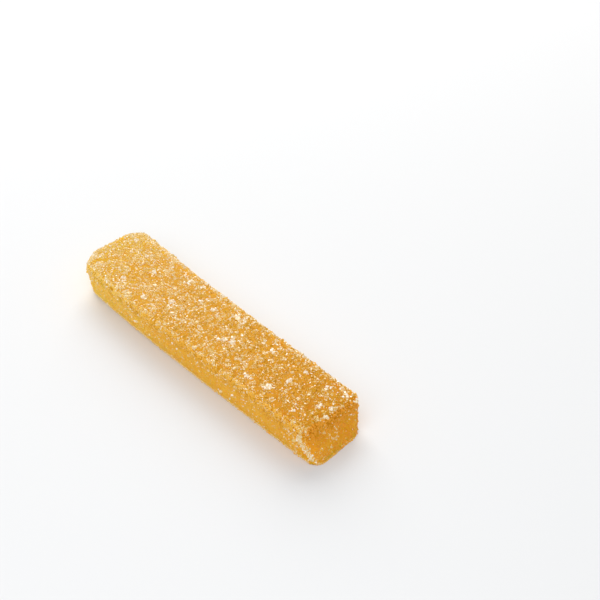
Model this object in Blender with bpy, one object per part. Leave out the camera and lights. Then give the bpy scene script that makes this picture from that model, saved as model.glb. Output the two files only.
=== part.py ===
"""Pate de fruit: one strip of sugared fruit jelly, cut from a slab and lying flat on its base.

Metres, +Z up. The strip runs along X, from the far end at -X to the near end at +X, and its front
side faces -Y. The origin is at the middle of the base. The strip is one solid: the jelly, with
its largest sugar grains and clumps fused on.
"""

import math
import random

import bmesh
import bpy
from mathutils import Euler, Matrix, Vector, noise
from mathutils.bvhtree import BVHTree

MM = 0.001

# Driving dimensions of the jelly
LENGTH = 69.2 * MM
WIDTH = 13.5 * MM
HEIGHT = 8.0 * MM

# How far each end's corners stand past LENGTH / 2, as the knife left them: (front, back)
FAR_BASE = (-0.7 * MM, 0.6 * MM)
FAR_TOP = (-0.3 * MM, 1.0 * MM)
NEAR_BASE = (2.2 * MM, -0.2 * MM)
NEAR_TOP = (-1.0 * MM, -1.3 * MM)

# The top's overhang past the base on each side, (at the far end, at the near end)
FRONT_LEAN = (1.3 * MM, 1.1 * MM)
BACK_LEAN = (0.5 * MM, 0.25 * MM)

# The far end is wider than the near end
FAR_WIDENING = 0.8 * MM

# The edges are rounder at the top than at the base, and at the far end: (far end, near end)
TOP_EDGE_RADIUS = (2.0 * MM, 1.3 * MM)
BASE_EDGE_RADIUS = (1.1 * MM, 0.5 * MM)
FAR_CORNER_RADIUS = 4.6 * MM

# The near end's upright corners are rounder at the base than at the top: (base, top)
NEAR_CORNER_RADIUS = (3.0 * MM, 1.6 * MM)

# The strip bows towards the front, most at this share of its length from the far end
BOW = 0.85 * MM
BOW_AT = 0.33

# Slow waves in the cut sides and the top, and the crags of the fine sugar
WAVE_HEIGHT = 0.16 * MM
WAVE_LENGTH = 9.5 * MM
CRAG_HEIGHT = 0.15 * MM
CRAG_LENGTH = 1.1 * MM

CELL = 1.25 * MM

# The largest sugar grains and the clumps of grains, and how far their middles stand above the skin
GRAIN_SPACING = 3.2 * MM
GRAIN_JITTER = 0.33
GRAIN_SIZE = (0.75 * MM, 1.15 * MM)
CLUMP_SIZE = (1.20 * MM, 1.70 * MM)
CLUMP_SHARE = 0.12
GRAIN_SKEW = 0.14
GRAIN_FLATTEST = 0.62
GRAIN_STANDING = (-0.20, 0.05)
BASE_CLEARANCE = 0.3 * MM
SEED = 11

JELLY_COLOUR = (0.62, 0.31, 0.035, 1.0)


def mix(a, b, share):
    return a + (b - a) * share


def clear_scene():
    for obj in list(bpy.data.objects):
        bpy.data.objects.remove(obj)


def new_collection(name):
    collection = bpy.data.collections.new(name)
    bpy.context.scene.collection.children.link(collection)
    return collection


def new_object(name, bm, collection):
    mesh = bpy.data.meshes.new(name)
    bm.to_mesh(mesh)
    bm.free()
    obj = bpy.data.objects.new(name, mesh)
    collection.objects.link(obj)
    return obj


def jelly_material():
    material = bpy.data.materials.new("sugared_jelly")
    material.use_nodes = True
    shader = material.node_tree.nodes["Principled BSDF"]
    shader.inputs["Base Color"].default_value = JELLY_COLOUR
    shader.inputs["Roughness"].default_value = 0.45
    shader.inputs["Metallic"].default_value = 0.0
    return material


def along(point):
    """The share of the length from the far end, 0 to 1, of a point in the plain box."""
    return min(1.0, max(0.0, point.x / LENGTH + 0.5))


def pulled_in(point, halves, radius):
    """A point of a box with those half sizes, moved so that its edges and corners have that radius."""
    core = Vector([min(h - radius, max(radius - h, c)) for c, h in zip(point, halves)])
    out = point - core
    if out.length == 0.0:
        return point.copy()
    return core + out * (max(map(abs, out)) / out.length)


def corner_radius(point):
    """The radius of the upright corners: that of the nearer end, fading to none at mid length."""
    to_end = 2.0 * along(point) - 1.0
    near = mix(*NEAR_CORNER_RADIUS, point.z / HEIGHT + 0.5)
    return abs(to_end) * (near if to_end > 0.0 else FAR_CORNER_RADIUS)


def rounded(point):
    """A point of the plain box, moved so that the box's edges and upright corners are round."""
    halves = (LENGTH / 2, WIDTH / 2)
    radius = mix(*(TOP_EDGE_RADIUS if point.z > 0.0 else BASE_EDGE_RADIUS), along(point))
    inset = min(half - abs(c) for c, half in zip(point, halves))
    across = WIDTH / 2 - inset
    edge = pulled_in(Vector((across, point.z)), (WIDTH / 2, HEIGHT / 2), radius)
    plan = point.xy
    if edge.x < across:
        plan = Vector([c * (1.0 - (across - edge.x) / (half - inset)) for c, half in zip(point, halves)])
    plan = pulled_in(plan, halves, corner_radius(point))
    return Vector((plan.x, plan.y, edge.y))


def cut(point):
    """A point of the rounded box, moved to where the knife, the slab and the bow put it."""
    share = along(point)
    back = point.y / WIDTH + 0.5
    up = point.z / HEIGHT + 0.5
    far = -LENGTH / 2 - mix(mix(*FAR_BASE, back), mix(*FAR_TOP, back), up)
    near = LENGTH / 2 + mix(mix(*NEAR_BASE, back), mix(*NEAR_TOP, back), up)
    widening = FAR_WIDENING * (1.0 - share)
    front_side = -WIDTH / 2 - widening - up * mix(*FRONT_LEAN, share)
    back_side = WIDTH / 2 + widening + up * mix(*BACK_LEAN, share)
    x = mix(far, near, point.x / LENGTH + 0.5)
    bow = BOW * math.sin(math.pi * share ** (math.log(0.5) / math.log(BOW_AT)))
    return Vector((x, mix(front_side, back_side, back) - bow, point.z + HEIGHT / 2))


def relief(point, normal):
    """How far the surface stands out at a point: slow waves and sugar crags, none on the base."""
    slow = noise.noise(point / WAVE_LENGTH)
    crags = noise.noise(point / CRAG_LENGTH)
    off_base = min(1.0, max(0.0, 1.0 + normal.z)) * min(1.0, point.z / TOP_EDGE_RADIUS[1])
    return (WAVE_HEIGHT * slow + CRAG_HEIGHT * crags) * off_base


def grid_lines(size, radius):
    """Where the box is divided across one of its sides: at the round edges, then about every CELL."""
    flat = size - 2 * radius
    count = max(1, round(flat / CELL))
    return [flat * (i / count - 0.5) for i in range(count + 1)]


def jelly_mesh():
    """The jelly alone: a box divided into cells, rounded, cut and given its relief."""
    bm = bmesh.new()
    size = (LENGTH, WIDTH, HEIGHT)
    bmesh.ops.create_cube(bm, size=1.0, matrix=Matrix.Diagonal((*size, 1.0)))
    for axis in range(3):
        normal = [float(axis == i) for i in range(3)]
        for offset in grid_lines(size[axis], mix(*TOP_EDGE_RADIUS, 0.5)):
            bmesh.ops.bisect_plane(
                bm,
                geom=bm.verts[:] + bm.edges[:] + bm.faces[:],
                plane_co=[n * offset for n in normal],
                plane_no=normal,
            )
    for vertex in bm.verts:
        vertex.co = cut(rounded(vertex.co))
    bm.normal_update()
    moves = [vertex.normal * relief(vertex.co, vertex.normal) for vertex in bm.verts]
    for vertex, move in zip(bm.verts, moves):
        vertex.co += move
    flatten_base(bm)
    return bm


def flatten_base(bm):
    """Makes the underside one flat face at Z = 0."""
    lowest = min(vertex.co.z for vertex in bm.verts)
    for vertex in bm.verts:
        vertex.co.z = max(0.0, vertex.co.z - lowest)
    base = [face for face in bm.faces if all(v.co.z < 1e-7 for v in face.verts)]
    bmesh.ops.dissolve_faces(bm, faces=base, use_verts=True)
    bmesh.ops.triangulate(bm, faces=bm.faces[:])
    bm.normal_update()


def jittered(count, half, draw):
    """Evenly spaced places from -half to half, each moved by up to GRAIN_JITTER of the spacing."""
    step = 2 * half / count
    jitters = [draw.uniform(-GRAIN_JITTER, GRAIN_JITTER) for _ in range(count)]
    return [-half + step * (i + 0.5 + jitter) for i, jitter in enumerate(jitters)]


def sites(draw):
    """Points of the plain box where large grains sit: on every side but the base, evenly spread."""
    spans = (LENGTH, WIDTH, HEIGHT)
    faces = ((2, 1, (0, 1)), (1, -1, (0, 2)), (1, 1, (0, 2)), (0, -1, (1, 2)), (0, 1, (1, 2)))
    for normal_axis, side, (first, second) in faces:
        rows = round(spans[first] / GRAIN_SPACING)
        columns = round(spans[second] / GRAIN_SPACING)
        for place in jittered(rows, spans[first] / 2, draw):
            for other in jittered(columns, spans[second] / 2, draw):
                point = Vector((0.0, 0.0, 0.0))
                point[normal_axis] = side * spans[normal_axis] / 2
                point[first] = place + draw.uniform(-GRAIN_JITTER, GRAIN_JITTER) * GRAIN_SPACING
                point[second] = other
                yield point


def grain_mesh(size, draw):
    """One sugar grain: a block with skewed corners and unequal sides."""
    bm = bmesh.new()
    sides = [size * draw.uniform(GRAIN_FLATTEST, 1.0) for _ in range(3)]
    bmesh.ops.create_cube(bm, size=1.0, matrix=Matrix.Diagonal((*sides, 1.0)))
    for vertex in bm.verts:
        vertex.co += Vector([draw.uniform(-1.0, 1.0) for _ in range(3)]) * GRAIN_SKEW * size
    return bm


def add_grains(surface, collection):
    """Large grains and clumps on the jelly's skin, each turned its own way and partly sunk in."""
    draw = random.Random(SEED)
    for site in sites(draw):
        clump = draw.random() < CLUMP_SHARE
        size = draw.uniform(*(CLUMP_SIZE if clump else GRAIN_SIZE))
        place, normal, _, _ = surface.find_nearest(cut(rounded(site)))
        grain_bm = grain_mesh(size, draw)
        turn = Euler([draw.uniform(0.0, math.tau) for _ in range(3)]).to_matrix()
        centre = place + normal * size * draw.uniform(*GRAIN_STANDING)
        reach = max(-(turn @ vertex.co).z for vertex in grain_bm.verts)
        if centre.z - reach < BASE_CLEARANCE:
            grain_bm.free()
            continue
        grain = new_object(f"grain_{len(collection.objects)}", grain_bm, collection)
        grain.matrix_world = Matrix.Translation(centre) @ turn.to_4x4()


def fuse(jelly, grains):
    """Joins the grains to the jelly in one Boolean union, applied, and removes them."""
    union = jelly.modifiers.new("fuse_grains", "BOOLEAN")
    union.operation = "UNION"
    union.operand_type = "COLLECTION"
    union.collection = grains
    union.solver = "MANIFOLD"
    bpy.context.view_layer.update()
    evaluated = jelly.evaluated_get(bpy.context.evaluated_depsgraph_get())
    joined = bpy.data.meshes.new_from_object(evaluated)
    jelly.modifiers.remove(union)
    jelly.data = joined
    for obj in list(grains.objects):
        bpy.data.objects.remove(obj)
    bpy.data.collections.remove(grains)


def keep_outer_skin(obj):
    """Fills the hollows that fusing sealed and drops loose scraps: only the largest shell stays."""
    bm = bmesh.new()
    bm.from_mesh(obj.data)
    unseen = set(bm.faces)
    shells = []
    while unseen:
        shell, front = set(), [unseen.pop()]
        while front:
            face = front.pop()
            shell.add(face)
            linked = {other for edge in face.edges for other in edge.link_faces} & unseen
            front += linked
            unseen -= linked
        shells.append(shell)
    largest = max(shells, key=len)
    spare = [face for shell in shells if shell is not largest for face in shell]
    bmesh.ops.delete(bm, geom=spare, context="FACES")
    bm.to_mesh(obj.data)
    bm.free()


def centre_on_base(obj):
    """Moves the mesh so that the origin is at the middle of its base."""
    lows = [min(v.co[i] for v in obj.data.vertices) for i in range(3)]
    highs = [max(v.co[i] for v in obj.data.vertices) for i in range(3)]
    middle = [(low + high) / 2 for low, high in zip(lows, highs)]
    obj.data.transform(Matrix.Translation((-middle[0], -middle[1], -lows[2])))


def main():
    clear_scene()
    part = new_collection("pate_de_fruit_strip")
    grains = new_collection("sugar_grains")
    bm = jelly_mesh()
    surface = BVHTree.FromBMesh(bm)
    jelly = new_object("pate_de_fruit", bm, part)
    jelly.data.materials.append(jelly_material())
    add_grains(surface, grains)
    fuse(jelly, grains)
    keep_outer_skin(jelly)
    centre_on_base(jelly)


main()
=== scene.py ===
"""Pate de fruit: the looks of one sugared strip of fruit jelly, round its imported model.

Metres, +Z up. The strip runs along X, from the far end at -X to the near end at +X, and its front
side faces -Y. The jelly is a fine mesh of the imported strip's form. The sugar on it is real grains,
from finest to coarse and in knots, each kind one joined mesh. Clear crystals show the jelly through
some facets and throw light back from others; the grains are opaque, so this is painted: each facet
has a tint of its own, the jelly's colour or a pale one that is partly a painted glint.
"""
import math
import random

import bmesh
import bpy
import numpy as np
from mathutils import Euler, Matrix, Vector, noise
from mathutils.bvhtree import BVHTree


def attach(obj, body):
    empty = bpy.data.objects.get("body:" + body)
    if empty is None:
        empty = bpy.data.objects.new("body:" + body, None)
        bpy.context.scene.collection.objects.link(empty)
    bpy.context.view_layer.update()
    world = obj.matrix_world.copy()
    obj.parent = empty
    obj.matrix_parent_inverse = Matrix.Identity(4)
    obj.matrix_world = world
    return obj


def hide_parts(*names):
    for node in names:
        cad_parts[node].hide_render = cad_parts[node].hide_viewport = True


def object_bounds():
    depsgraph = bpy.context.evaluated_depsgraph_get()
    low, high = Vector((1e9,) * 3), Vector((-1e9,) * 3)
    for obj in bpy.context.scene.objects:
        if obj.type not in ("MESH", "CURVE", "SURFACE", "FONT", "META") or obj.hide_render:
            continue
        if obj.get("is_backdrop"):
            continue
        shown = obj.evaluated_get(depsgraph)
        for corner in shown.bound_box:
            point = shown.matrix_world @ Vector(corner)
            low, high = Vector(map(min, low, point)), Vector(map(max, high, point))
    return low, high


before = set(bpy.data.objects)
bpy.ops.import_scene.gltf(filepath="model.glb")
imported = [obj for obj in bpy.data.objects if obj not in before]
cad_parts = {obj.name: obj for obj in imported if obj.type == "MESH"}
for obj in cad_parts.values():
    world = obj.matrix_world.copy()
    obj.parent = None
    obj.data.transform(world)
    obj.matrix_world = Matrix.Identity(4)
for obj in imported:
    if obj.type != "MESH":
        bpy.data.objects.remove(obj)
CAD_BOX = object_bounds()

MM = 0.001
NODE = "pate_de_fruit"
BODY = "root"

# The jelly with its sugar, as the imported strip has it. FAR_BASE to NEAR_TOP say how far each end
# sticks out, at the front and at the back. The leans and the edges' radii are those at the far and
# at the near end, and the near corners' radii those at the base and at the top.
LENGTH = 69.2 * MM
WIDTH = 13.5 * MM
HEIGHT = 8.0 * MM
FAR_BASE = (-0.7 * MM, 0.6 * MM)
FAR_TOP = (-0.3 * MM, 1.0 * MM)
NEAR_BASE = (2.2 * MM, -0.2 * MM)
NEAR_TOP = (-1.0 * MM, -1.3 * MM)
FRONT_LEAN = (1.3 * MM, 1.1 * MM)
BACK_LEAN = (0.5 * MM, 0.25 * MM)
FAR_WIDENING = 0.8 * MM
TOP_EDGE_RADIUS = (2.0 * MM, 1.3 * MM)
BASE_EDGE_RADIUS = (1.1 * MM, 0.5 * MM)
FAR_CORNER_RADIUS = 4.6 * MM
NEAR_CORNER_RADIUS = (3.0 * MM, 1.6 * MM)
BOW = 0.85 * MM
BOW_AT = 0.33

# The bare jelly lies this far inside, under its sugar
SUGAR_DEPTH = 0.22 * MM
BASE_SUGAR = 0.03 * MM

# The jelly's own surface: slow waves, dents and fine pits
CELL = 0.36 * MM
EDGE_LOOPS = 5
WAVE_HEIGHT = 0.16 * MM
WAVE_LENGTH = 9.5 * MM
DENT_HEIGHT = 0.12 * MM
DENT_LENGTH = 2.2 * MM
PIT_HEIGHT = 0.05 * MM
PIT_LENGTH = 0.7 * MM

# The sides of the plain box: axis and direction of each
SIDES = {
    "top": (2, 1),
    "underside": (2, -1),
    "front": (1, -1),
    "back": (1, 1),
    "far_end": (0, -1),
    "near_end": (0, 1),
}

# How much sugar each side holds, at its lower and upper edge, and the exponent of the rise between
COVER = {
    "top": (1.0, 1.0),
    "underside": (0.5, 0.5),
    "front": (0.20, 1.0),
    "back": (0.5, 1.0),
    "far_end": (0.45, 1.0),
    "near_end": (0.40, 0.9),
}
COVER_CURVE = 1.3

# The share of each side's grains that are pale, at its lower and upper edge
PALE = {
    "top": (0.35, 0.35),
    "underside": (0.2, 0.2),
    "front": (0.08, 0.20),
    "back": (0.25, 0.55),
    "far_end": (0.45, 0.75),
    "near_end": (0.05, 0.08),
}

# How much larger that share is at the far end than at the near end
FAR_PALER = {
    "top": 0.52,
    "underside": 0.2,
    "front": 0.05,
    "back": 0.4,
    "far_end": 0.52,
    "near_end": 0.0,
}

# Paler sugar at the far and back rims, painted backlight for where light shines through it: how much,
# and how wide
RIM_PALER = 0.65
FAR_RIM = 3.0 * MM
BACK_RIM = 2.4 * MM

# Patches with much and little sugar
PATCH_LENGTHS = (1.7 * MM, 0.7 * MM)
PATCH_DEPTHS = (0.7, 0.6)
PATCH_MIDDLE = 0.62
LEAST_COVER = 0.12

# Places where pale grains gather: how far apart, how strongly, and the least share left between
KNOT_LENGTH = 0.9 * MM
KNOT_DEPTH = 2.9
LEAST_KNOT = 0.15

# Sugar by kind: how many grains, their least and greatest size, and a factor on their paleness
SUGAR_KINDS = {
    "finest_sugar": (16000, (0.14 * MM, 0.26 * MM), 0.95),
    "fine_sugar": (16000, (0.20 * MM, 0.36 * MM), 1.05),
    "medium_sugar": (6900, (0.30 * MM, 0.56 * MM), 1.15),
    "coarse_sugar": (160, (0.56 * MM, 0.85 * MM), 1.7),
}
SEED = 11

# Exponents above 1, which make small grains commoner: for the kinds above, and for knots
SIZE_BIAS = 1.6
KNOT_SIZE_BIAS = 1.5

# A grain's form, in shares of its size: its shortest side, how far its corners are moved, how far
# its middle stands out of the jelly, and how much is cut off its edges or corners
FLATTEST = 0.62
SKEW = 0.09
STANDING = (-0.36, 0.06)
EDGE_TRIM = 0.2
CORNER_TRIM = 0.22

# White knots of sugar on the top, in millimetres: place along and across, reach, number of grains
TOP_KNOTS = (
    (-31.4, 4.4, 0.54, 12),
    (-25.8, 2.8, 0.48, 10),
    (-22.8, -4.9, 0.54, 14),
    (-20.7, 0.6, 0.60, 12),
    (-15.9, -5.4, 0.54, 12),
    (-13.7, 4.1, 0.78, 24),
    (-11.1, -2.2, 0.66, 27),
    (-10.7, 5.5, 0.60, 15),
    (-7.5, 2.1, 0.48, 10),
    (-3.8, 2.6, 0.48, 12),
    (1.0, 4.5, 0.54, 14),
    (2.5, 4.9, 0.72, 18),
    (4.4, -1.4, 0.66, 21),
    (5.8, -0.6, 0.66, 21),
    (9.7, 3.9, 0.42, 8),
    (13.0, 3.3, 0.48, 10),
    (15.4, -4.7, 0.66, 16),
    (20.1, -3.8, 0.78, 36),
    (21.2, 0.3, 0.42, 12),
    (21.6, 4.2, 0.42, 10),
    (27.1, 4.2, 0.60, 14),
    (27.8, -4.3, 0.36, 8),
    (30.0, -0.1, 0.48, 12),
    (31.2, 5.4, 0.54, 14),
    (31.9, 1.2, 0.54, 15),
    (33.0, -0.7, 0.48, 12),
)

# Smaller knots anywhere on the top: how many, how much of the length and width they take on each
# side of the middle, their reach, and their number of grains
SMALL_KNOTS = 60
SMALL_KNOT_AREA = (0.48, 0.46)
SMALL_KNOT_REACH = (0.15, 0.40)
SMALL_KNOT_GRAINS = (3, 7)

# Streaks and knots elsewhere, in millimetres: from, to, reach, number of grains, and kind. The
# first seven make the white streak down the near end's front corner.
STREAKS = (
    ((32.2, -6.3, 7.2), (32.3, -6.4, 6.6), 0.25, 5, "frosted"),
    ((32.3, -6.4, 6.3), (31.8, -6.5, 4.9), 0.45, 34, "frosted"),
    ((31.7, -6.5, 4.9), (32.8, -6.2, 3.8), 0.60, 44, "frosted"),
    ((33.6, -5.7, 3.7), (33.9, -5.6, 3.6), 0.40, 14, "frosted"),
    ((32.9, -6.2, 3.6), (33.9, -5.7, 2.1), 0.60, 44, "frosted"),
    ((33.9, -5.7, 2.1), (34.4, -5.4, 1.2), 0.50, 26, "frosted"),
    ((34.7, -5.1, 0.9), (35.2, -4.8, 0.5), 0.35, 8, "frosted"),
    ((33.9, -0.6, 3.0), (34.0, 0.7, 2.8), 0.45, 22, "dusty"),
    ((34.5, -1.1, 1.9), (34.5, -1.1, 1.8), 0.30, 7, "dusty"),
    ((33.5, -2.0, 5.5), (33.5, -2.1, 5.1), 0.30, 7, "dusty"),
    ((33.5, 0.8, 4.9), (33.8, 0.8, 3.6), 0.25, 8, "dusty"),
    ((33.7, -0.8, 4.3), (33.7, -0.8, 4.1), 0.25, 5, "dusty"),
    ((34.8, -4.8, 2.2), (35.0, -1.8, 1.4), 1.20, 60, "dim"),
    ((30.5, -6.5, 4.6), (30.5, -6.5, 4.4), 0.25, 5, "dusty"),
    ((29.1, -6.7, 6.3), (29.1, -6.7, 6.0), 0.30, 7, "dusty"),
    ((29.3, -6.2, 1.6), (29.3, -6.2, 1.3), 0.30, 8, "dusty"),
    ((30.5, -6.2, 1.7), (30.9, -6.2, 1.3), 0.30, 9, "dusty"),
    ((-17.4, -7.6, 2.7), (-15.0, -7.6, 3.4), 0.25, 5, "white"),
    ((-33.4, -7.4, 6.4), (-33.2, -7.6, 5.0), 0.50, 14, "white"),
    ((-24.2, 7.6, 8.2), (-23.2, 8.0, 8.3), 0.30, 8, "white"),
    ((-7.2, 7.4, 8.2), (-6.6, 7.8, 8.4), 0.25, 6, "white"),
    ((33.0, 6.6, 7.8), (34.0, 6.9, 7.4), 0.35, 9, "white"),
)

# Fine grains along the foot of the front side and both ends, given in the same way: partly sugar, and
# partly a painted pale rim that stands for light coming through the jelly at its foot
FOOT = (
    ((-33.5, -8.6, 0.25), (34.5, -8.6, 0.25), 0.35, 1500, "foot"),
    ((-34.0, -8.6, 0.25), (-36.4, -5.0, 0.25), 0.30, 50, "foot"),
    ((-36.4, -5.0, 0.25), (-36.4, 5.0, 0.25), 0.30, 110, "foot"),
    ((-33.5, -7.8, 0.0), (5.0, -7.8, 0.0), 0.30, 300, "foot"),
    ((-33.5, -7.6, 0.0), (-35.6, -4.6, 0.0), 0.30, 60, "foot"),
    ((36.4, -5.2, 0.25), (34.8, 5.4, 0.25), 0.40, 160, "dim"),
)

# The grains of knots, streaks and foot by kind: their tints, their least and greatest size, and how
# far they stand out, in shares of their size
KNOT_TINTS = {
    "white": {"white": 0.64, "cream": 0.36},
    "frosted": {"white": 0.12, "cream": 0.48, "honey": 0.40},
    "dusty": {"cream": 0.30, "honey": 0.50, "apricot": 0.20},
    "dim": {"honey": 0.35, "apricot": 0.65},
    "foot": {"cream": 0.50, "honey": 0.50},
}
KNOT_SIZES = {
    "white": (0.20 * MM, 0.52 * MM),
    "frosted": (0.18 * MM, 0.46 * MM),
    "dusty": (0.18 * MM, 0.38 * MM),
    "dim": (0.16 * MM, 0.32 * MM),
    "foot": (0.13 * MM, 0.26 * MM),
}
KNOT_STANDING = {
    "white": (-0.1, 0.45),
    "frosted": (-0.2, 0.25),
    "dusty": (-0.2, 0.25),
    "dim": (-0.3, 0.1),
    "foot": (-0.2, 0.25),
}

# How far a knot's grains scatter round its line, as a share of its reach
KNOT_SCATTER = 0.5

# The jelly's colours from yellow to orange, the places among them of the far and the near end, what
# the mottle adds at most and how long it is, and how far light scatters
JELLY_COLOURS = (
    (0.0, (0.90, 0.60, 0.045)),
    (0.25, (0.92, 0.49, 0.060)),
    (0.70, (0.91, 0.46, 0.050)),
    (1.0, (0.81, 0.34, 0.014)),
)
END_DEPTHS = (-0.22, 0.62)
MOTTLE_DEPTH = 0.62
MOTTLE_LENGTH = 2.4 * MM
SCATTER_LENGTH = 2.4 * MM

# Painted shade: how much darker the jelly's colour is made under the top's sugar, where the lamps light
# it most and the grains stand round it, and the heights between which it darkens
TOP_PAINTED_SHADE = (0.69, 0.615, 0.30)
TOP_SHADE_HEIGHTS = (3.4 * MM, 7.4 * MM)

# The bump of the jelly's finest pits
BUMP_HEIGHT = 0.06 * MM
BUMP_LENGTH = 0.35 * MM

# Each tint of sugar, from the jelly shining through to light thrown back, both painted into the colour,
# the pale ones partly sugar's own whiteness: colour, gloss, roughness
SUGAR_TINTS = {
    "amber": ((0.60, 0.282, 0.016), 0.04, 0.35),
    "gold": ((0.66, 0.340, 0.036), 0.06, 0.30),
    "corn": ((0.745, 0.426, 0.095), 0.08, 0.30),
    "lemon": ((0.81, 0.525, 0.130), 0.15, 0.30),
    "orange": ((0.80, 0.33, 0.032), 0.05, 0.40),
    "apricot": ((0.84, 0.43, 0.045), 0.10, 0.35),
    "straw": ((0.90, 0.56, 0.100), 0.15, 0.30),
    "honey": ((0.80, 0.545, 0.19), 0.35, 0.22),
    "cream": ((0.89, 0.70, 0.40), 0.5, 0.18),
    "white": ((0.98, 0.865, 0.68), 0.8, 0.15),
}

# The tints that show the jelly, by side: where along the strip each ends, and its name. The top's are
# darker than the sides': painted shade that offsets the stronger light on the top, like the jelly's
# under them. The top's front edge takes the side's, and the ends of the stretches are blurred.
TOP_TINTS = ((0.12, "lemon"), (0.32, "corn"), (0.65, "gold"), (9.0, "amber"))
SIDE_TINTS = ((0.30, "straw"), (9.0, "apricot"))
NEAR_TINTS = ((9.0, "orange"),)
TINT_BLUR = 0.07
TINT_EDGE = 1.5 * MM

# The tints that throw light back, partly sugar's own whiteness and partly painted glints, and the share
# of facets that have one: on pale grains, and on each side's other grains, where the painted glints are
# most on the top and far end, which face the lamp behind, and fewest on the near end
PALE_TINTS = {"honey": 0.53, "cream": 0.35, "white": 0.12}
PALE_SHINE = 0.85
OWN_SHINE = {
    "top": 0.22,
    "underside": 0.10,
    "front": 0.07,
    "back": 0.14,
    "far_end": 0.20,
    "near_end": 0.03,
}

# The camera, turned and raised round the strip's own axes, and aimed at a point on the floor
ELEVATION = math.radians(38.4)
AZIMUTH = math.radians(49.7)
AIM = Vector((-3.05 * MM, 23.45 * MM, 0.0))
LENS = 100.0
SENSOR = 36.0
DISTANCE = 333.3 * MM

# The lamps: place to the camera's right, away from it and up, size and power
KEY_PLACE = (-0.05, 0.50, 0.36)
KEY_SIZE = 0.55
KEY_POWER = 3.8
FILL_PLACE = (-0.08, -0.30, 0.42)
FILL_SIZE = 0.50
FILL_POWER = 1.7
WARM_WHITE = (1.0, 0.985, 0.96)
COOL_WHITE = (0.955, 0.975, 1.0)

# The pale room and the floor
ROOM_LIGHT = 0.40
FLOOR_REACH = 2.0
FLOOR_GREY = 0.77


def mix(a, b, share):
    return a + (b - a) * share


def along(point):
    """The share of the length from the far end, 0 to 1, of a point in the plain box."""
    return min(1.0, max(0.0, point.x / LENGTH + 0.5))


def pulled_in(point, halves, radius):
    """A point of a box with those half sizes, moved so that its edges and corners have that radius."""
    core = Vector([min(h - radius, max(radius - h, c)) for c, h in zip(point, halves)])
    out = point - core
    if out.length == 0.0:
        return point.copy()
    return core + out * (max(map(abs, out)) / out.length)


def corner_radius(point):
    """The radius of the upright corners: that of the nearer end, fading to none at mid length."""
    to_end = 2.0 * along(point) - 1.0
    near = mix(*NEAR_CORNER_RADIUS, point.z / HEIGHT + 0.5)
    return abs(to_end) * (near if to_end > 0.0 else FAR_CORNER_RADIUS)


def rounded(point):
    """A point of the plain box, moved so that the box's edges and upright corners are round."""
    halves = (LENGTH / 2, WIDTH / 2)
    radius = mix(*(TOP_EDGE_RADIUS if point.z > 0.0 else BASE_EDGE_RADIUS), along(point))
    inset = min(half - abs(c) for c, half in zip(point, halves))
    across = WIDTH / 2 - inset
    edge = pulled_in(Vector((across, point.z)), (WIDTH / 2, HEIGHT / 2), radius)
    plan = point.xy
    if edge.x < across:
        plan = Vector([c * (1.0 - (across - edge.x) / (half - inset)) for c, half in zip(point, halves)])
    plan = pulled_in(plan, halves, corner_radius(point))
    return Vector((plan.x, plan.y, edge.y))


def cut(point):
    """A point of the rounded box, moved to where the knife, the slab and the bow put it."""
    share = along(point)
    back = point.y / WIDTH + 0.5
    up = point.z / HEIGHT + 0.5
    far = -LENGTH / 2 - mix(mix(*FAR_BASE, back), mix(*FAR_TOP, back), up)
    near = LENGTH / 2 + mix(mix(*NEAR_BASE, back), mix(*NEAR_TOP, back), up)
    widening = FAR_WIDENING * (1.0 - share)
    front_side = -WIDTH / 2 - widening - up * mix(*FRONT_LEAN, share)
    back_side = WIDTH / 2 + widening + up * mix(*BACK_LEAN, share)
    x = mix(far, near, point.x / LENGTH + 0.5)
    bow = BOW * math.sin(math.pi * share ** (math.log(0.5) / math.log(BOW_AT)))
    return Vector((x, mix(front_side, back_side, back) - bow, point.z + HEIGHT / 2))


def relief(point, normal):
    """How far the jelly's skin stands out: waves, dents and pits, and nothing on the base."""
    off_base = min(1.0, max(0.0, 1.0 + normal.z))
    return off_base * (
        WAVE_HEIGHT * noise.noise(point / WAVE_LENGTH)
        + DENT_HEIGHT * noise.noise(point / DENT_LENGTH)
        + PIT_HEIGHT * noise.noise(point / PIT_LENGTH)
        - SUGAR_DEPTH
    )


def grid_lines(size, radius):
    """Where the box is divided across one side: every CELL, and closer in the round edges."""
    flat = size - 2 * radius
    count = max(1, round(flat / CELL))
    turns = [math.tan(math.pi / 4 * i / EDGE_LOOPS) for i in range(EDGE_LOOPS)]
    edge = [flat / 2 + radius * turn for turn in turns]
    inner = [flat * (i / count - 0.5) for i in range(1, count)]
    return [-e for e in edge] + inner + edge


def centring(bm):
    """The move that brings the form's middle, in plan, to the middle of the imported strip."""
    move = Vector((0.0, 0.0, 0.0))
    for axis in range(2):
        values = [vertex.co[axis] for vertex in bm.verts]
        packed = (CAD_BOX[0][axis] + CAD_BOX[1][axis]) / 2
        move[axis] = packed - (min(values) + max(values)) / 2
    return move


def jelly_form():
    """The bare jelly as a closed mesh of small cells, before it is centred."""
    bm = bmesh.new()
    size = (LENGTH, WIDTH, HEIGHT)
    bmesh.ops.create_cube(bm, size=1.0, matrix=Matrix.Diagonal((*size, 1.0)))
    radius = mix(*TOP_EDGE_RADIUS, 0.5)
    for axis in range(3):
        normal = [float(axis == i) for i in range(3)]
        for offset in grid_lines(size[axis], radius):
            bmesh.ops.bisect_plane(
                bm,
                geom=bm.verts[:] + bm.edges[:] + bm.faces[:],
                plane_co=[n * offset for n in normal],
                plane_no=normal,
            )
    for vertex in bm.verts:
        vertex.co = cut(rounded(vertex.co))
    bm.normal_update()
    moves = [vertex.normal * relief(vertex.co, vertex.normal) for vertex in bm.verts]
    for vertex, move in zip(bm.verts, moves):
        vertex.co += move
        vertex.co.z = max(BASE_SUGAR, vertex.co.z)
    bm.normal_update()
    return bm


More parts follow.
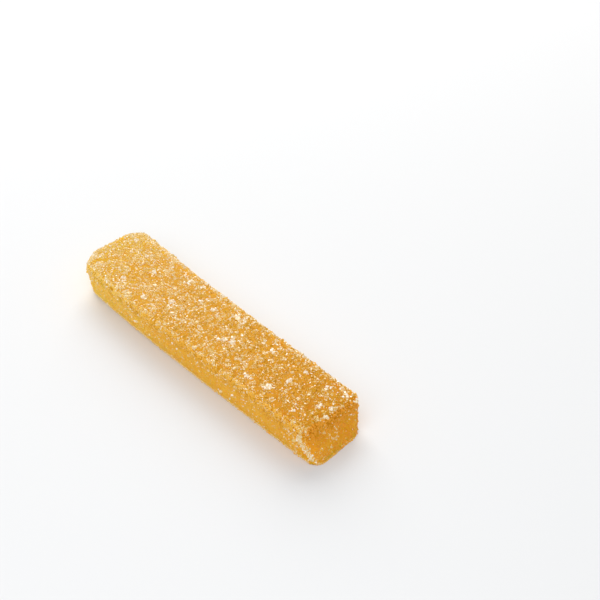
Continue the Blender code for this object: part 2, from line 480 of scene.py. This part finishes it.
def new_object(name, data):
    obj = bpy.data.objects.new(name, data)
    bpy.context.scene.collection.objects.link(obj)
    return obj


def set_inputs(shader, **values):
    for name, value in values.items():
        shader.inputs[name.replace("_", " ")].default_value = value


def new_material(name):
    material = bpy.data.materials.new(name)
    material.use_nodes = True
    return material, material.node_tree.nodes["Principled BSDF"]


def add_node(tree, kind, **values):
    """A shader node with its inputs and settings given by name."""
    node = tree.nodes.new("ShaderNode" + kind)
    for name, value in values.items():
        if name in node.inputs:
            node.inputs[name].default_value = value
        else:
            setattr(node, name, value)
    return node


def set_ramp(node, stops):
    """Sets a colour ramp's stops, given as (place, colour)."""
    ramp = node.color_ramp
    while len(ramp.elements) < len(stops):
        ramp.elements.new(0.5)
    for element, (place, colour) in zip(ramp.elements, stops):
        element.position = place
        element.color = (*colour, 1.0)


def depth_of_colour(tree, place):
    """Nodes for the jelly's place on its colour ramp: further on at the near end, and mottled."""
    split = add_node(tree, "SeparateXYZ")
    tree.links.new(place.outputs["Object"], split.inputs[0])
    share = add_node(tree, "MapRange")
    share.inputs["From Min"].default_value = -LENGTH / 2
    share.inputs["From Max"].default_value = LENGTH / 2
    share.inputs["To Min"].default_value = END_DEPTHS[0]
    share.inputs["To Max"].default_value = END_DEPTHS[1]
    tree.links.new(split.outputs["X"], share.inputs["Value"])
    mottle = add_node(tree, "TexNoise", Scale=1 / MOTTLE_LENGTH, Detail=4.0, Roughness=0.62)
    tree.links.new(place.outputs["Object"], mottle.inputs["Vector"])
    total = add_node(tree, "Math", operation="MULTIPLY_ADD")
    tree.links.new(mottle.outputs["Fac"], total.inputs[0])
    total.inputs[1].default_value = MOTTLE_DEPTH
    tree.links.new(share.outputs["Result"], total.inputs[2])
    return total


def painted_top_shade(tree, place):
    """Nodes for how near the jelly is to the top, where it is darkened between the grains with painted
    shade.
    """
    split = add_node(tree, "SeparateXYZ")
    tree.links.new(place.outputs["Object"], split.inputs[0])
    near = add_node(tree, "MapRange", interpolation_type="SMOOTHSTEP")
    near.inputs["From Min"].default_value = TOP_SHADE_HEIGHTS[0]
    near.inputs["From Max"].default_value = TOP_SHADE_HEIGHTS[1]
    tree.links.new(split.outputs["Z"], near.inputs["Value"])
    return near


def jelly_material():
    """Amber fruit jelly: light scatters in it, yellow at the far end and deeper at the near end."""
    material, shader = new_material("fruit_jelly")
    tree = material.node_tree
    shader.subsurface_method = "RANDOM_WALK"
    set_inputs(
        shader,
        Roughness=0.45,
        IOR=1.38,
        Specular_IOR_Level=0.05,
        Subsurface_Weight=1.0,
        Subsurface_Radius=(1.0, 0.75, 0.25),
        Subsurface_Scale=SCATTER_LENGTH,
    )
    place = add_node(tree, "TexCoord")
    colours = add_node(tree, "ValToRGB")
    set_ramp(colours, JELLY_COLOURS)
    tree.links.new(depth_of_colour(tree, place).outputs[0], colours.inputs["Fac"])
    # Painted shade: the jelly's colour is darkened towards the top
    shaded_colour = add_node(tree, "Mix", data_type="RGBA", blend_type="MULTIPLY")
    tree.links.new(painted_top_shade(tree, place).outputs["Result"], shaded_colour.inputs["Factor"])
    tree.links.new(colours.outputs["Color"], shaded_colour.inputs["A"])
    shaded_colour.inputs["B"].default_value = (*TOP_PAINTED_SHADE, 1.0)
    tree.links.new(shaded_colour.outputs["Result"], shader.inputs["Base Color"])
    pits = add_node(tree, "TexNoise", Scale=1 / BUMP_LENGTH, Detail=3.0)
    tree.links.new(place.outputs["Object"], pits.inputs["Vector"])
    bump = add_node(tree, "Bump", Strength=0.5, Distance=BUMP_HEIGHT)
    tree.links.new(pits.outputs["Fac"], bump.inputs["Height"])
    tree.links.new(bump.outputs["Normal"], shader.inputs["Normal"])
    return material


def sugar_material(name, colour, gloss, roughness):
    material, shader = new_material(name)
    set_inputs(shader, Base_Color=(*colour, 1.0), Specular_IOR_Level=gloss, Roughness=roughness)
    return material


def patch(point):
    """How much sugar a place holds, from LEAST_COVER to 1, in loose patches."""
    waves = [depth * noise.noise(point / length) for length, depth in zip(PATCH_LENGTHS, PATCH_DEPTHS)]
    return min(1.0, max(LEAST_COVER, PATCH_MIDDLE + sum(waves)))


def sites(count, draw):
    """Random points of the plain box's sides with their side's name, more where sugar gathers."""
    spans = (LENGTH, WIDTH, HEIGHT)
    names = list(SIDES)
    across = {name: [i for i in range(3) if i != SIDES[name][0]] for name in names}
    areas = [spans[across[name][0]] * spans[across[name][1]] for name in names]
    found = 0
    while found < count:
        name = draw.choices(names, weights=areas)[0]
        axis, side = SIDES[name]
        point = Vector((0.0, 0.0, 0.0))
        point[axis] = side * spans[axis] / 2
        for other in across[name]:
            point[other] = draw.uniform(-0.5, 0.5) * spans[other]
        up = max(0.0, point.z / HEIGHT + 0.5)
        if draw.random() < mix(*COVER[name], up**COVER_CURVE) * patch(point):
            found += 1
            yield point, name


def paleness(point, name):
    """The share of pale grains at a place of the plain box's side, raised at the far and back rims by
    painted backlight.
    """
    share = mix(*PALE[name], point.z / HEIGHT + 0.5) + FAR_PALER[name] * (0.5 - along(point))
    to_far = LENGTH / 2 + point.x
    to_back = WIDTH / 2 - point.y if name == "top" else LENGTH
    rims = max(1.0 - to_far / FAR_RIM, 1.0 - to_back / BACK_RIM, 0.0)
    return share + RIM_PALER * rims


def own_tint(point, name, draw):
    """The tint of a facet that shows the jelly through the crystal, by its side and place."""
    if name == "top" and point.y + WIDTH / 2 < TINT_EDGE * draw.random():
        name = "front"
    tints = {"top": TOP_TINTS, "near_end": NEAR_TINTS}.get(name, SIDE_TINTS)
    place = along(point) + draw.gauss(0.0, TINT_BLUR)
    return next(tint for end, tint in tints if place < end)


def pick_tints(count, point, name, whiter, draw):
    """The tints of a grain's facets: most of a pale grain's are pale, and few of another grain's. The
    pale facets are partly painted glints.
    """
    knot = max(LEAST_KNOT, 1.0 + KNOT_DEPTH * noise.noise(point / KNOT_LENGTH))
    pale = draw.random() < paleness(point, name) * knot * whiter
    shining = PALE_SHINE if pale else OWN_SHINE[name]
    tints = draw.choices(list(PALE_TINTS), weights=list(PALE_TINTS.values()), k=count)
    return [tint if draw.random() < shining else own_tint(point, name, draw) for tint in tints]


def hull_arrays(bm):
    """A small form's corners, its triangles in a fixed order, and their facets' numbers, as arrays."""
    bmesh.ops.triangulate(bm, faces=bm.faces[:])
    bm.normal_update()
    corners = np.array([vertex.co for vertex in bm.verts])
    faces = sorted(bm.faces, key=lambda face: sorted(vertex.index for vertex in face.verts))
    triangles = np.array([[vertex.index for vertex in face.verts] for face in faces])
    normals = np.round([face.normal for face in faces], 3) + 0.0
    facets = np.unique(normals, axis=0, return_inverse=True)[1].ravel()
    bm.free()
    return corners, triangles, facets


def unit_block():
    bm = bmesh.new()
    bmesh.ops.create_cube(bm, size=1.0)
    return bm


def block_hull():
    """A block: 8 corners and 12 triangles."""
    return hull_arrays(unit_block())


def prism_hull():
    """A block with its four upright edges cut off: 16 corners and 28 triangles."""
    bm = unit_block()
    upright = [e for e in bm.edges if abs(e.verts[0].co.z - e.verts[1].co.z) > 0.5]
    bmesh.ops.bevel(bm, geom=upright, offset=EDGE_TRIM, segments=1, affect="EDGES")
    return hull_arrays(bm)


def trimmed_hull():
    """A block with its eight corners cut off: 24 corners and 44 triangles."""
    bm = unit_block()
    bmesh.ops.bevel(bm, geom=bm.verts[:], offset=CORNER_TRIM, segments=1, affect="VERTICES")
    return hull_arrays(bm)


def joined_mesh(name, corners, triangles, tints):
    """One mesh of many small closed forms, with a tint's number on each triangle."""
    mesh = bpy.data.meshes.new(name)
    mesh.vertices.add(len(corners))
    mesh.vertices.foreach_set("co", corners.astype(np.float32).ravel())
    mesh.loops.add(triangles.size)
    mesh.loops.foreach_set("vertex_index", triangles.astype(np.int32).ravel())
    mesh.polygons.add(len(triangles))
    mesh.polygons.foreach_set("loop_start", np.arange(0, triangles.size, 3, dtype=np.int32))
    mesh.polygons.foreach_set("material_index", tints.astype(np.int32))
    mesh.update(calc_edges=True)
    mesh.validate()
    mesh.shade_flat()
    return mesh


def grain(shape, place, normal, size, standing, draw):
    """One grain's corners: the shape with unequal sides and moved corners, turned at random."""
    sides = np.array([draw.uniform(FLATTEST, 1.0) for _ in range(3)]) * size
    skew = np.array([[draw.uniform(-SKEW, SKEW) for _ in range(3)] for _ in shape]) * size
    turn = np.array(Euler([draw.uniform(0.0, math.tau) for _ in range(3)]).to_matrix())
    corners = (shape * sides + skew) @ turn.T + np.array(place + normal * size * standing)
    corners[:, 2] += max(0.0, -corners[:, 2].min())
    return corners


def add_grains(name, hull, grains, move, tints):
    """One piece of all grains of a kind, given as (corners, facets' tints), moved with the jelly."""
    shape, faces, facets = hull
    corners = np.concatenate([corners for corners, _ in grains]) + np.array(move)
    starts = np.arange(len(grains)) * len(shape)
    triangles = (faces[None, :, :] + starts[:, None, None]).reshape(-1, 3)
    numbers = np.array([[list(SUGAR_TINTS).index(tint) for tint in picked] for _, picked in grains])
    mesh = joined_mesh(name, corners, triangles, numbers[:, facets].ravel())
    obj = new_object(name, mesh)
    for tint in tints:
        mesh.materials.append(tint)
    # Clear crystals hardly shade the jelly, so these cast no shadow and block no bounced light
    obj.visible_shadow = False
    obj.visible_diffuse = False
    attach(obj, BODY)


def facet_count(hull):
    """How many facets a form has, given as its corners, its triangles and their facets' numbers."""
    return max(hull[2]) + 1


def scattered(hull, count, sizes, whiter, surface, draw):
    """Grains all over the strip, as (corners, facets' tints)."""
    grains = []
    for site, side in sites(count, draw):
        place, normal, _, _ = surface.find_nearest(cut(rounded(site)))
        size = mix(*sizes, draw.random() ** SIZE_BIAS)
        corners = grain(hull[0], place, normal, size, draw.uniform(*STANDING), draw)
        grains.append((corners, pick_tints(facet_count(hull), site, side, whiter, draw)))
    return grains


def small_knots(draw):
    """Places, reaches and numbers of grains of the small knots on the top."""
    along_x, across = SMALL_KNOT_AREA
    for _ in range(SMALL_KNOTS):
        x = draw.uniform(-along_x, along_x) * LENGTH / MM
        y = draw.uniform(-across, across) * WIDTH / MM
        yield x, y, draw.uniform(*SMALL_KNOT_REACH), draw.randint(*SMALL_KNOT_GRAINS)


def knots(hull, surface, move, draw):
    """Pale grains gathered in knots on the top, in streaks elsewhere, and along the foot, where they are
    partly a painted glow.
    """
    placed = [(*knot, "white") for knot in TOP_KNOTS]
    placed += [(*knot, "frosted") for knot in small_knots(draw)]
    top = [((x, y, HEIGHT / MM), (x, y, HEIGHT / MM), *rest) for x, y, *rest in placed]
    facets = facet_count(hull)
    grains = []
    for start, end, reach, count, kind in top + list(STREAKS + FOOT):
        tints = KNOT_TINTS[kind]
        for _ in range(count):
            middle = Vector(start).lerp(Vector(end), draw.random())
            spread = Vector([draw.gauss(0.0, KNOT_SCATTER) for _ in range(3)]) * reach
            place, normal, _, _ = surface.find_nearest((middle + spread) * MM - move)
            size = mix(*KNOT_SIZES[kind], draw.random() ** KNOT_SIZE_BIAS)
            corners = grain(hull[0], place, normal, size, draw.uniform(*KNOT_STANDING[kind]), draw)
            grains.append((corners, draw.choices(list(tints), weights=list(tints.values()), k=facets)))
    return grains


def add_jelly():
    """The bare jelly. Returns its surface before centring, and the move that centres it."""
    bm = jelly_form()
    surface = BVHTree.FromBMesh(bm)
    move = centring(bm)
    mesh = bpy.data.meshes.new("jelly")
    bm.to_mesh(mesh)
    bm.free()
    mesh.transform(Matrix.Translation(move))
    mesh.shade_smooth()
    mesh.materials.append(jelly_material())
    obj = new_object("jelly", mesh)
    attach(obj, BODY)
    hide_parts(NODE)
    return surface, move


def add_sugar(surface, move):
    """All sugar, kind by kind: simple forms for the finest grains, and more facets on the larger."""
    draw = random.Random(SEED)
    tints = [sugar_material(f"{name}_sugar", *values) for name, values in SUGAR_TINTS.items()]
    hulls = {
        "finest_sugar": block_hull(),
        "fine_sugar": block_hull(),
        "medium_sugar": prism_hull(),
        "coarse_sugar": trimmed_hull(),
    }
    for name, (count, sizes, whiter) in SUGAR_KINDS.items():
        hull = hulls[name]
        grains = scattered(hull, count, sizes, whiter, surface, draw)
        add_grains(name, hull, grains, move, tints)
    hull = trimmed_hull()
    add_grains("sugar_knots", hull, knots(hull, surface, move, draw), move, tints)


def add_floor():
    mesh = bpy.data.meshes.new("floor")
    bm = bmesh.new()
    bmesh.ops.create_grid(bm, x_segments=1, y_segments=1, size=FLOOR_REACH)
    bm.to_mesh(mesh)
    bm.free()
    floor = new_object("floor", mesh)
    material, shader = new_material("white_floor")
    set_inputs(shader, Base_Color=(FLOOR_GREY, FLOOR_GREY, FLOOR_GREY, 1.0), Roughness=0.9)
    mesh.materials.append(material)
    floor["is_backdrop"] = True


def camera_frame():
    """Unit vectors of the view on the floor: to the right, and away from the camera."""
    away = Vector((-math.sin(AZIMUTH), math.cos(AZIMUTH), 0.0))
    right = Vector((math.cos(AZIMUTH), math.sin(AZIMUTH), 0.0))
    return right, away


def add_lamp(name, place, size, power, colour):
    """A square lamp that points at the strip, at a place given in the camera's own directions."""
    right, away = camera_frame()
    at = right * place[0] + away * place[1] + Vector((0.0, 0.0, place[2]))
    lamp = bpy.data.lights.new(name, "AREA")
    lamp.color = colour
    lamp.shape = "SQUARE"
    lamp.size = size
    lamp.energy = power
    obj = new_object(name, lamp)
    obj.location = at
    obj.rotation_euler = (-at).to_track_quat("-Z", "Y").to_euler()


def add_lights():
    """A broad soft lamp behind the strip, a cooler one on the camera's side, and a pale room."""
    add_lamp("key", KEY_PLACE, KEY_SIZE, KEY_POWER, WARM_WHITE)
    add_lamp("fill", FILL_PLACE, FILL_SIZE, FILL_POWER, COOL_WHITE)
    world = bpy.data.worlds.new("white_room")
    world.use_nodes = True
    world.node_tree.nodes["Background"].inputs["Color"].default_value = (*COOL_WHITE, 1.0)
    world.node_tree.nodes["Background"].inputs["Strength"].default_value = ROOM_LIGHT
    bpy.context.scene.world = world
    bpy.context.scene.view_settings.view_transform = "Standard"


def add_camera():
    _, away = camera_frame()
    level, height = math.cos(ELEVATION), math.sin(ELEVATION)
    place = AIM - away * DISTANCE * level + Vector((0.0, 0.0, DISTANCE * height))
    data = bpy.data.cameras.new("camera")
    data.lens = LENS
    data.sensor_width = SENSOR
    data.clip_start = 10 * MM
    camera = new_object("camera", data)
    camera.location = place
    camera.rotation_euler = (AIM - place).to_track_quat("-Z", "Y").to_euler()
    bpy.context.scene.camera = camera


def write_sizes():
    boxes = {"cad": CAD_BOX, "visual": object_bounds()}
    sizes = {name: [[float(c) for c in corner] for corner in box] for name, box in boxes.items()}


add_camera()
add_floor()
add_lights()
add_sugar(*add_jelly())
write_sizes()
